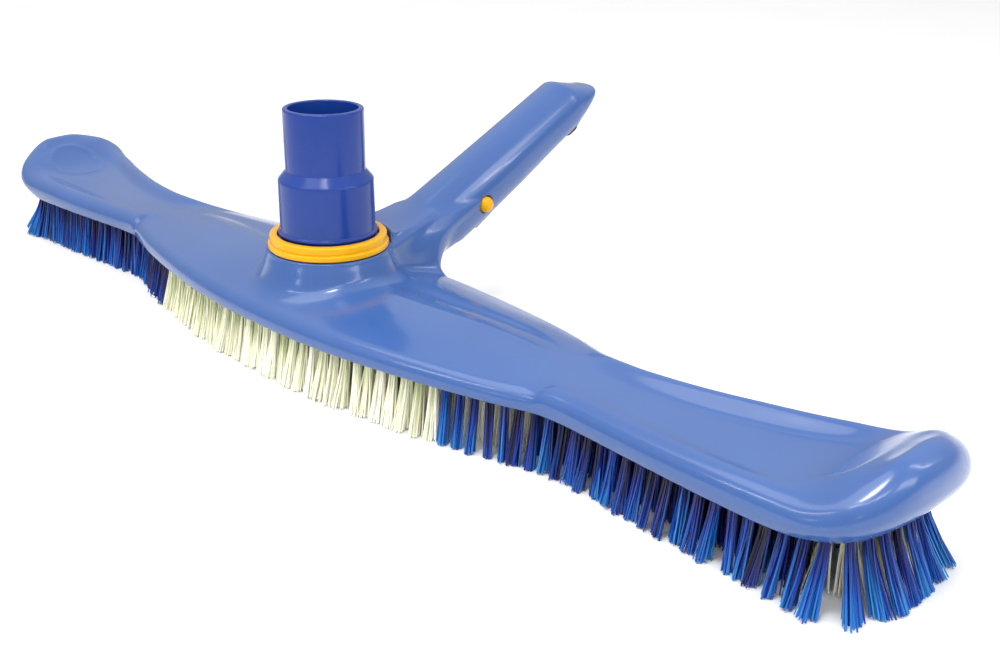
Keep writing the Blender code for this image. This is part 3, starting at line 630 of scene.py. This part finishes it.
def lathe(name, profile, material, steps=128, centre=(0.0, 0.0), sharp=34):
    """A closed profile of (r, z), outer side downwards, turned about a vertical line; corners are rounded first."""
    prof = np.array(profile, float)
    a = np.linspace(0, 2 * math.pi, steps, endpoint=False)
    n = len(prof)
    r, z = prof[:, 0][:, None], prof[:, 1][:, None]
    pts = np.stack([centre[0] + r * np.cos(a), centre[1] + r * np.sin(a), z + 0 * a], -1).reshape(-1, 3)
    i, j = np.meshgrid(np.arange(n), np.arange(steps), indexing="ij")
    i2, j2 = (i + 1) % n, (j + 1) % steps
    quads = np.stack([i * steps + j, i2 * steps + j, i2 * steps + j2, i * steps + j2], -1).reshape(-1, 4)
    obj = mesh_object(name, to_frame(pts), quads, material)
    obj.data.set_sharp_from_angle(angle=math.radians(sharp))
    return obj


def rounded(profile, radii, steps=5):
    """A closed profile with each corner replaced by an arc; radii holds one radius for each point."""
    pts = [np.array(p, float) for p in profile]
    out = []
    n = len(pts)
    for i, p in enumerate(pts):
        r = radii[i] if isinstance(radii, (list, tuple)) else radii
        a, b = pts[i - 1] - p, pts[(i + 1) % n] - p
        la, lb = np.linalg.norm(a), np.linalg.norm(b)
        a, b = a / la, b / lb
        cosine = float(np.clip(a @ b, -1, 1))
        angle = math.acos(cosine)
        if r <= 0 or angle > math.radians(176):
            out.append(tuple(p))
            continue
        d = min(r / math.tan(angle / 2), la * 0.48, lb * 0.48)
        r = d * math.tan(angle / 2)
        bis = (a + b) / np.linalg.norm(a + b)
        c = p + bis * (r / math.sin(angle / 2))
        s, e = p + a * d - c, p + b * d - c
        for k in range(steps + 1):
            t = k / steps
            v = s * (1 - t) + e * t
            out.append(tuple(c + v / np.linalg.norm(v) * r))
    return out


# ------------------------------------------------------------------ the moulding
def make_body():
    points, quads, normals = surface_of(body_field, (-257, -41, 19), (257, 158, 99), FINE)
    obj = mesh_object("moulded_body", to_frame(points), quads, BLUE, normals=normals)
    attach(obj, "brush_head")
    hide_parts("body_shell")
    return obj


body = make_body()
print("body", len(body.data.polygons), "faces", round(time.time() - T0, 1), "s")

# ------------------------------------------------------------------ cuff, washer, ring
CUFF = rounded([
    (13.55, 100.9), (15.6, 100.9), (15.6, 77.0), (18.75, 73.2), (18.75, 53.3), (19.6, 52.9), (19.6, 52.0), (18.75, 51.7),
    (18.75, 49.8), (21.3, 49.8), (21.3, 48.3), (18.3, 48.3), (18.3, 37.0), (15.6, 37.0), (15.6, 70.0), (13.3, 78.5), (13.3, 96.0)],
    [0.5, 0.8, 0.5, 1.6, 0.4, 0.3, 0.3, 0.3, 0.2, 0.2, 0.2, 0.2, 0.3, 0.3, 2, 2, 4], 6)
cuff = lathe("hose_cuff_fine", CUFF, CUFF_BLUE, 160)
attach(cuff, "hose_cuff")
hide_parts("hose_connector")

RING = rounded([
    (20.15, 51.5), (23.2, 51.5), (23.2, 48.8), (22.75, 48.4), (23.9, 48.0), (23.9, 45.95), (22.2, 45.95), (22.2, 50.1), (20.15, 50.1)],
    [0.35, 0.8, 0.35, 0.3, 0.55, 0.5, 0.2, 0.2, 0.2], 5)
ring = lathe("retaining_ring_fine", RING, ORANGE, 160)
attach(ring, "brush_head")
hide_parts("retaining_ring")

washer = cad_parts["swivel_washer"]
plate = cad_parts["base_plate"]
for node, material in ((washer, WASHER), (plate, PLATE_BLUE)):
    node.data.materials.clear()
    node.data.materials.append(material)
for k in range(1, 9):
    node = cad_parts[f"plate_screw_{k}"]
    node.data.materials.clear()
    node.data.materials.append(STEEL)


# ------------------------------------------------------------------ clip and buttons
CLIP_T = 0.9
CLIP = [(76.0, 8.9, -10.6, 2.4), (86.5, 8.45, -10.6, 2.4), (90.0, 8.3, -9.3, 2.4), (98.0, 8.0, -8.6, 1.4), (140.0, 5.9, -8.6, 0.6),
        (147.0, 5.6, -11.8, 0.2), (151.0, 5.2, -12.2, 0.0)]


def on_axis(s, n, x):
    return x, s * COS_B - n * SIN_B, AXIS_Z0 + s * SIN_B + n * COS_B


def clip_half(name, sign):
    """Half of the spring clip, from the free end of its leg to the middle of its bend."""
    table = np.array(CLIP)
    at = np.unique(np.concatenate([np.arange(76.0, 151.0, 3.0), table[:, 0]]))
    rows = [(v, *(np.interp(v, table[:, 0], table[:, k]) for k in (1, 2, 3)), 0.0, 1.0) for v in at]
    for i in range(1, 9):
        t = math.pi / 2 * i / 8
        rows.append((151.0 + 5.2 * math.sin(t), 5.2 * math.cos(t), -12.2, 0.0, math.sin(t), math.cos(t)))
    pts = np.array([on_axis(v + ds * side * CLIP_T, n, sign * (x + dx * side * CLIP_T))
                    for v, x, lo, hi, ds, dx in rows for side, n in ((-1, lo), (1, lo), (1, hi), (-1, hi))])
    quads = [[4 * i + j, 4 * i + (j + 1) % 4, 4 * i + 4 + (j + 1) % 4, 4 * i + 4 + j] for i in range(len(rows) - 1) for j in range(4)]
    last = 4 * len(rows) - 4
    quads += [[3, 2, 1, 0], [last, last + 1, last + 2, last + 3]]
    quads = np.array(quads)
    c = pts.mean(0)
    q = pts[quads] - c
    volume = (np.cross(q[:, 1] - q[:, 0], q[:, 2] - q[:, 0]) * q[:, 0]).sum() + (np.cross(q[:, 2] - q[:, 0], q[:, 3] - q[:, 0]) * q[:, 0]).sum()
    obj = mesh_object(name, to_frame(pts), quads if volume > 0 else quads[:, ::-1], BLACK)
    obj.data.set_sharp_from_angle(angle=math.radians(30))
    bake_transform(obj)
    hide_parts("v_clip")


clip_half("v_clip_right_fine", 1)
clip_half("v_clip_left_fine", -1)


def dome(name, sign):
    """A round button on the handle's side, its flat end inside."""
    prof = [(0.0, 0.0), (3.3, 0.0), (3.5, 0.2), (3.5, 3.7)]
    for k in range(1, 13):
        t = math.pi / 2 * k / 12
        prof.append((3.5 * math.cos(t), 3.7 + 3.2 * math.sin(t)))
    steps = 64
    a = np.linspace(0, 2 * math.pi, steps, endpoint=False)
    r, d = np.array(prof).T
    c = np.array((sign * 10.0, BUTTON_S * COS_B - BUTTON_N * SIN_B, AXIS_Z0 + BUTTON_S * SIN_B + BUTTON_N * COS_B))
    pts = np.stack([c[0] + sign * (d[:, None] + 0 * a), c[1] + r[:, None] * np.cos(a), c[2] + r[:, None] * np.sin(a)], -1).reshape(-1, 3)
    n = len(prof)
    i, j = np.meshgrid(np.arange(n - 1), np.arange(steps), indexing="ij")
    j2 = (j + 1) % steps
    q = np.stack([i * steps + j, i * steps + j2, (i + 1) * steps + j2, (i + 1) * steps + j], -1).reshape(-1, 4)
    if sign > 0:
        q = q[:, ::-1]
    obj = mesh_object(name, to_frame(pts), q, ORANGE)
    obj.data.set_sharp_from_angle(angle=math.radians(40))
    return obj


for word, sign, body_name in (("right", 1, "button_r"), ("left", -1, "button_l")):
    b = dome(f"button_{word}_fine", sign)
    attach(b, body_name)
    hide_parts(f"button_{word}")


# ------------------------------------------------------------------ bristles
PITCH = 5.75
OUTER_IN, INNER_IN, TUFT_W = 4.2, 11.6, 4.4
WHITE_OUTER, WHITE_INNER = 88.0, 118.0


def inset_loop(d):
    """The outline moved in by d plus most of the undercut, with its outward normals."""
    p = OUTLINE[::3]
    t = np.roll(p, -1, axis=0) - np.roll(p, 1, axis=0)
    t /= np.linalg.norm(t, axis=1)[:, None]
    out = np.stack([t[:, 1], -t[:, 0]], 1)
    ax = np.abs(p[:, 0])
    q = p - out * (d * (1 - 0.26 * smoothstep(ax, 230, 246)) + 0.86 * undercut(ax))[:, None]
    # where the loop would fold back on itself the points are dropped
    keep = np.ones(len(q), bool)
    adv = ((np.roll(q, -1, axis=0) - np.roll(q, 1, axis=0)) * t).sum(1)
    keep &= adv > 0
    return q[keep], out[keep]


def tuft_places(d, offset=0.0):
    q, out = inset_loop(d)
    ring = np.vstack([q, q[:1]])
    s = np.concatenate([[0], np.cumsum(np.hypot(*np.diff(ring, axis=0).T))])
    n = int(round(s[-1] / PITCH))
    at = (np.arange(n) + offset) * s[-1] / n
    o = np.vstack([out, out[:1]])
    x, y = np.interp(at, s, ring[:, 0]), np.interp(at, s, ring[:, 1])
    ox, oy = np.interp(at, s, o[:, 0]), np.interp(at, s, o[:, 1])
    k = np.hypot(ox, oy)
    return np.stack([x, y], 1), np.stack([ox / k, oy / k], 1)


def filaments(places, outs, count, lean, fan=1.0, shade=0.0, radius=0.27, tip=(0.0, 0.9), base_r=1.45, root=24.0):
    """Filament meshes for tufts at these places; lean is the outward shift of the tips, in mm; shade moves a tuft's
    colour as painted shade below zero and as painted light above zero.
    """
    m = len(places)
    total = m * count
    tuft = np.repeat(np.arange(m), count)
    # three to four clumps in each tuft draw their filaments together towards the tips
    clumps = 4
    ang = rng.uniform(0, 2 * math.pi, (m, clumps))
    rad = np.sqrt(rng.uniform(0.05, 1, (m, clumps)))
    which = rng.integers(0, clumps, total)
    ca, cr = ang[tuft, which], rad[tuft, which]
    a = rng.uniform(0, 2 * math.pi, total)
    r = np.sqrt(rng.uniform(0, 1, total))
    bx, by = base_r * r * np.cos(a), base_r * r * np.sin(a)
    own = np.stack([r * np.cos(a), r * np.sin(a)], 1)
    clump = np.stack([cr * np.cos(ca), cr * np.sin(ca)], 1)
    spread = (2.9 * fan * (1 + 0.55 * smoothstep(np.abs(places[:, 0]), 218, 240)))[tuft][:, None]
    tipxy = (0.52 * clump + 0.48 * own) * spread + rng.normal(0, 0.22, (total, 2))
    o = outs[tuft]
    side = np.stack([-o[:, 1], o[:, 0]], 1)
    # tuft axes: along the run (side) and outwards (o)
    shift = lean[tuft] + rng.normal(0, 0.25, total)
    sway = rng.normal(0, 0.35, m)[tuft]
    root_pts = np.stack([places[tuft, 0] + side[:, 0] * bx + o[:, 0] * by, places[tuft, 1] + side[:, 1] * bx + o[:, 1] * by, np.full(total, root)], 1)
    tz = rng.uniform(tip[0], tip[1], total) + np.abs(rng.normal(0, 0.25, m))[tuft]
    stray = rng.uniform(0, 1, total) < 0.012
    tipxy[stray] *= rng.uniform(1.3, 1.9, (stray.sum(), 1))
    tip_pts = np.stack([
        places[tuft, 0] + side[:, 0] * (tipxy[:, 0] + sway) + o[:, 0] * (tipxy[:, 1] + shift),
        places[tuft, 1] + side[:, 1] * (tipxy[:, 0] + sway) + o[:, 1] * (tipxy[:, 1] + shift), np.maximum(tz, 0.05)], 1)
    tip_pts[:, 0] = np.clip(tip_pts[:, 0], -253.2 + rng.uniform(0, 0.8, total), 253.2 - rng.uniform(0, 0.8, total))
    tip_pts[:, 1] = np.maximum(tip_pts[:, 1], -36.9 + rng.uniform(0, 0.6, total))
    bow = np.stack([side[:, 0], side[:, 1], 0 * side[:, 0]], 1) * rng.normal(0, 0.18, total)[:, None]
    rings, sides = 4, 4
    tt = np.linspace(0, 1, rings)
    pts = np.empty((total, rings, sides, 3))
    turn = rng.uniform(0, math.pi, total)
    rr = radius * rng.uniform(0.85, 1.15, total)
    for k, t in enumerate(tt):
        ease = t ** 1.25
        c = root_pts * (1 - ease) + tip_pts * ease + bow * math.sin(math.pi * t)
        c[:, 2] = root_pts[:, 2] * (1 - t) + tip_pts[:, 2] * t
        for j in range(sides):
            an = turn + 2 * math.pi * j / sides
            pts[:, k, j, 0] = c[:, 0] + rr * np.cos(an)
            pts[:, k, j, 1] = c[:, 1] + rr * np.sin(an)
            pts[:, k, j, 2] = c[:, 2]
    base = (np.arange(total) * rings * sides)[:, None]
    faces = []
    for k in range(rings - 1):
        for j in range(sides):
            j2 = (j + 1) % sides
            faces.append(base + np.array([(k + 1) * sides + j, (k + 1) * sides + j2, k * sides + j2, k * sides + j])[None])
    faces.append(base + np.array([(rings - 1) * sides + j for j in reversed(range(sides))])[None])
    faces = np.stack(faces, 1).reshape(-1, 4)
    # each filament's own colour, shifted by shade: painted shade or painted light for the whole tuft
    own_tint_and_shade = np.clip(rng.beta(1.6, 1.9, total) + shade + rng.normal(0, 0.1, m)[tuft], -0.2, 1.1)
    # painted shade at the root, where the tufts crowd together, and painted light towards the tip
    along = np.array([-0.55, -0.2, 0.04, 0.22])[None, :, None]
    tint_and_shade = np.clip(own_tint_and_shade[:, None, None] + along + np.zeros((total, rings, sides)), 0, 1)
    return pts.reshape(-1, 3), faces, tint_and_shade.reshape(-1)


def bristle_object(name, places, outs, count, lean, material, node_names, slot, **more):
    pts, faces, tint_and_shade = filaments(places, outs, count, lean, **more)
    obj = mesh_object(name, to_frame(pts), faces, material)
    layer = obj.data.attributes.new("tint_and_shade", "FLOAT", "POINT")
    layer.data.foreach_set("value", tint_and_shade.astype(np.float32))
    obj.data.set_sharp_from_angle(angle=math.radians(80))
    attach(obj, "brush_head")
    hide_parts(*node_names)
    return obj


def end_lean(x, base, extra):
    return base + extra * smoothstep(np.abs(x), 218, 243)


outer_p, outer_o = tuft_places(OUTER_IN + TUFT_W / 2)
inner_p, inner_o = tuft_places(INNER_IN + TUFT_W / 2, 0.5)
groups = []
for label, places, outs, white, count in (("outer", outer_p, outer_o, WHITE_OUTER, 34), ("inner", inner_p, inner_o, WHITE_INNER, 22)):
    x, y = places.T
    mid_y = ridge_y(np.minimum(np.abs(x), 225))
    face = np.where(y < mid_y, "front", "back")
    for f in ("front", "back"):
        for w in ("left", "center", "right"):
            lo, hi = {"left": (-END_X + 1, -white), "center": (-white, white), "right": (white, END_X - 1)}[w]
            pick = (face == f) & (x >= lo) & (x < hi)
            groups.append((f"bristles_{label}_{f}_{w}", places[pick], outs[pick], count, label, w == "center"))
    for w, s in (("left", -1), ("right", 1)):
        pick = x * s >= END_X - 1
        groups.append((f"bristles_{label}_end_{w}", places[pick], outs[pick], count, label, label == "inner"))

for name, places, outs, count, label, white in groups:
    lean = end_lean(places[:, 0], 3.8 if label == "outer" else 0.8, 7.6 if label == "outer" else 5.2)
    at_end = "_end_" in name
    # The shade values shift each group's colour: the negative ones are painted shade, darkening the inner rows so the
    # gaps between tufts read dark; the positive ones are painted light on the white tufts, and they also lighten the
    # blue end tufts.
    if label == "outer":
        fan, shade = (1.5, 0.14) if white else (1.0, 0.1 if at_end else -0.03)
        count = 50 if at_end else count + (16 if white else 4)
    else:
        fan, shade = (1.5, 0.12) if white else (1.6, -0.3)
        count += 14
    bristle_object(name + "_fine", places, outs, count, lean, BRISTLE_WHITE if white else BRISTLE_BLUE, [name],
                   "bristle_white" if white else "bristle_blue", fan=fan, shade=shade)

for word, sign in (("right", 1), ("left", -1)):
    xs = np.array([176.5, 182.2, 188.0, 193.7, 199.5, 205.2])
    ymid = (front(xs) + back(xs)) / 2
    places = np.stack([sign * xs, ymid], 1)
    wide = np.array([[sign * 199.5, ymid[4] + 4.4], [sign * 205.2, ymid[5] + 4.8], [sign * 199.5, ymid[4] - 4.4], [sign * 205.2, ymid[5] - 4.8]])
    places = np.vstack([places[:4], wide])
    outs = np.tile([[0.0, -1.0]], (len(places), 1))
    # shade=-0.35 is painted shade on these middle tufts, turning them near-black navy.
    bristle_object(f"bristles_middle_{word}_fine", places, outs, 26, np.zeros(len(places)), BRISTLE_BLUE, [f"bristles_middle_{word}"], "bristle_blue",
                   fan=1.3, shade=-0.35)
print("bristles", round(time.time() - T0, 1), "s")

# ------------------------------------------------------------------ floor, light, camera
def paper():
    mat, nodes, links, bsdf = new_material("studio_paper")
    coord = nodes.new("ShaderNodeTexCoord").outputs["Object"]
    links.new(ramp(nodes, links, noise(nodes, links, 3.0, 3, 0.5, coord), [(0.3, (0.9, 0.9, 0.9)), (0.7, (0.92, 0.92, 0.92))]), bsdf.inputs["Base Color"])
    bsdf.inputs["Roughness"].default_value = 0.9
    bsdf.inputs["Specular IOR Level"].default_value = 0.1
    return mat


half = 6.0
floor = mesh_object("floor", [(-half, -half, 0), (half, -half, 0), (half, half, 0), (-half, half, 0)], [(0, 1, 2, 3)], paper(), smooth=False)

world = bpy.data.worlds.new("studio")
bpy.context.scene.world = world
world.use_nodes = True
world.node_tree.nodes["Background"].inputs["Color"].default_value = (1, 1, 1, 1)
world.node_tree.nodes["Background"].inputs["Strength"].default_value = 1.0
wn, wl = world.node_tree.nodes, world.node_tree.links
wc = wn.new("ShaderNodeTexCoord")
ws = wn.new("ShaderNodeSeparateXYZ")
wl.new(wc.outputs["Generated"], ws.inputs["Vector"])
wl.new(ramp(wn, wl, ws.outputs["Z"], [(0.0, (0.42, 0.42, 0.43)), (0.25, (0.6, 0.6, 0.61)), (0.75, (1.1, 1.1, 1.1))]), wn["Background"].inputs["Color"])


def area(name, at, aim, size, power, size_y=None, colour=(1, 1, 1)):
    light = bpy.data.lights.new(name, "AREA")
    light.energy = power
    light.color = colour
    light.size = size
    if size_y:
        light.shape = "RECTANGLE"
        light.size_y = size_y
    obj = bpy.data.objects.new(name, light)
    obj.location = at
    obj.rotation_euler = (Vector(aim) - Vector(at)).to_track_quat("-Z", "Y").to_euler()
    bpy.context.scene.collection.objects.link(obj)
    return obj


def strip_light(name, a, b, width, aim, radiance):
    """A rectangular light from a to b (mm, as the model's tables), facing aim, with the given brightness."""
    a, b, aim = (Vector(to_frame(q)) for q in (a, b, aim))
    mid, along = (a + b) / 2, (b - a)
    back_dir = (mid - aim).normalized()
    side = along.normalized()
    back_dir = (back_dir - side * back_dir.dot(side)).normalized()
    light = bpy.data.lights.new(name, "AREA")
    light.shape = "RECTANGLE"
    light.size, light.size_y = along.length, width * MM
    light.energy = radiance * math.pi * light.size * light.size_y
    obj = bpy.data.objects.new(name, light)
    obj.matrix_world = Matrix((side, back_dir.cross(side), back_dir)).transposed().to_4x4()
    obj.matrix_world.translation = mid
    bpy.context.scene.collection.objects.link(obj)
    return obj


area("key", (-0.25, -0.55, 1.45), (0, -0.03, 0), 1.2, 8.5, 1.0)
strip_light("handle_strip", (545, 290, 440), (594, 430, 281), 14, (13, 73, 59), 22)
strip_light("handle_soft", (458, 190, 580), (560, 372, 425), 110, (12, 75, 60), 4.2)
strip_light("end_window", (640, -120, 440), (760, 190, 250), 120, (250, -3, 42), 4.5)
strip_light("end_strip", (100, -362, 506), (573, -200, 507), 16, (244, -14, 39), 20)
strip_light("front_strip", (-190, -500, 330), (-20, -430, 450), 26, (90, -26, 28), 14)
strip_light("cone_light", (130, -250, 700), (270, -190, 700), 70, (8, -10, 75), 38)
strip_light("hub_low", (-40, -597, 217), (40, -600, 217), 14, (15, -20, 44), 16)
strip_light("hub_side", (480, -390, 141), (512, -340, 141), 14, (20, -15, 45), 14)

cam_data = bpy.data.cameras.new("view")
cam_data.lens = 1150 * 36 / 1000
cam_data.sensor_width = 36
cam_data.clip_start, cam_data.clip_end = 0.01, 30
cam = bpy.data.objects.new("view", cam_data)
bpy.context.scene.collection.objects.link(cam)
az, pitch, roll = math.radians(44.41), math.radians(22.13), math.radians(0.9)
v = Vector((-math.sin(az) * math.cos(pitch), math.cos(az) * math.cos(pitch), -math.sin(pitch)))
r0 = Vector((math.cos(az), math.sin(az), 0))
u0 = r0.cross(v)
r1 = r0 * math.cos(roll) + u0 * math.sin(roll)
u1 = -r0 * math.sin(roll) + u0 * math.cos(roll)
m = Matrix((r1, u1, -v)).transposed().to_4x4()
m.translation = Vector((0.3557, -0.2646 - ORIGIN_Y * MM, 0.1900))
cam.matrix_world = m
bpy.context.scene.camera = cam
bpy.context.scene.view_settings.view_transform = "Standard"

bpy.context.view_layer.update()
print("scene", round(time.time() - T0, 1), "s")
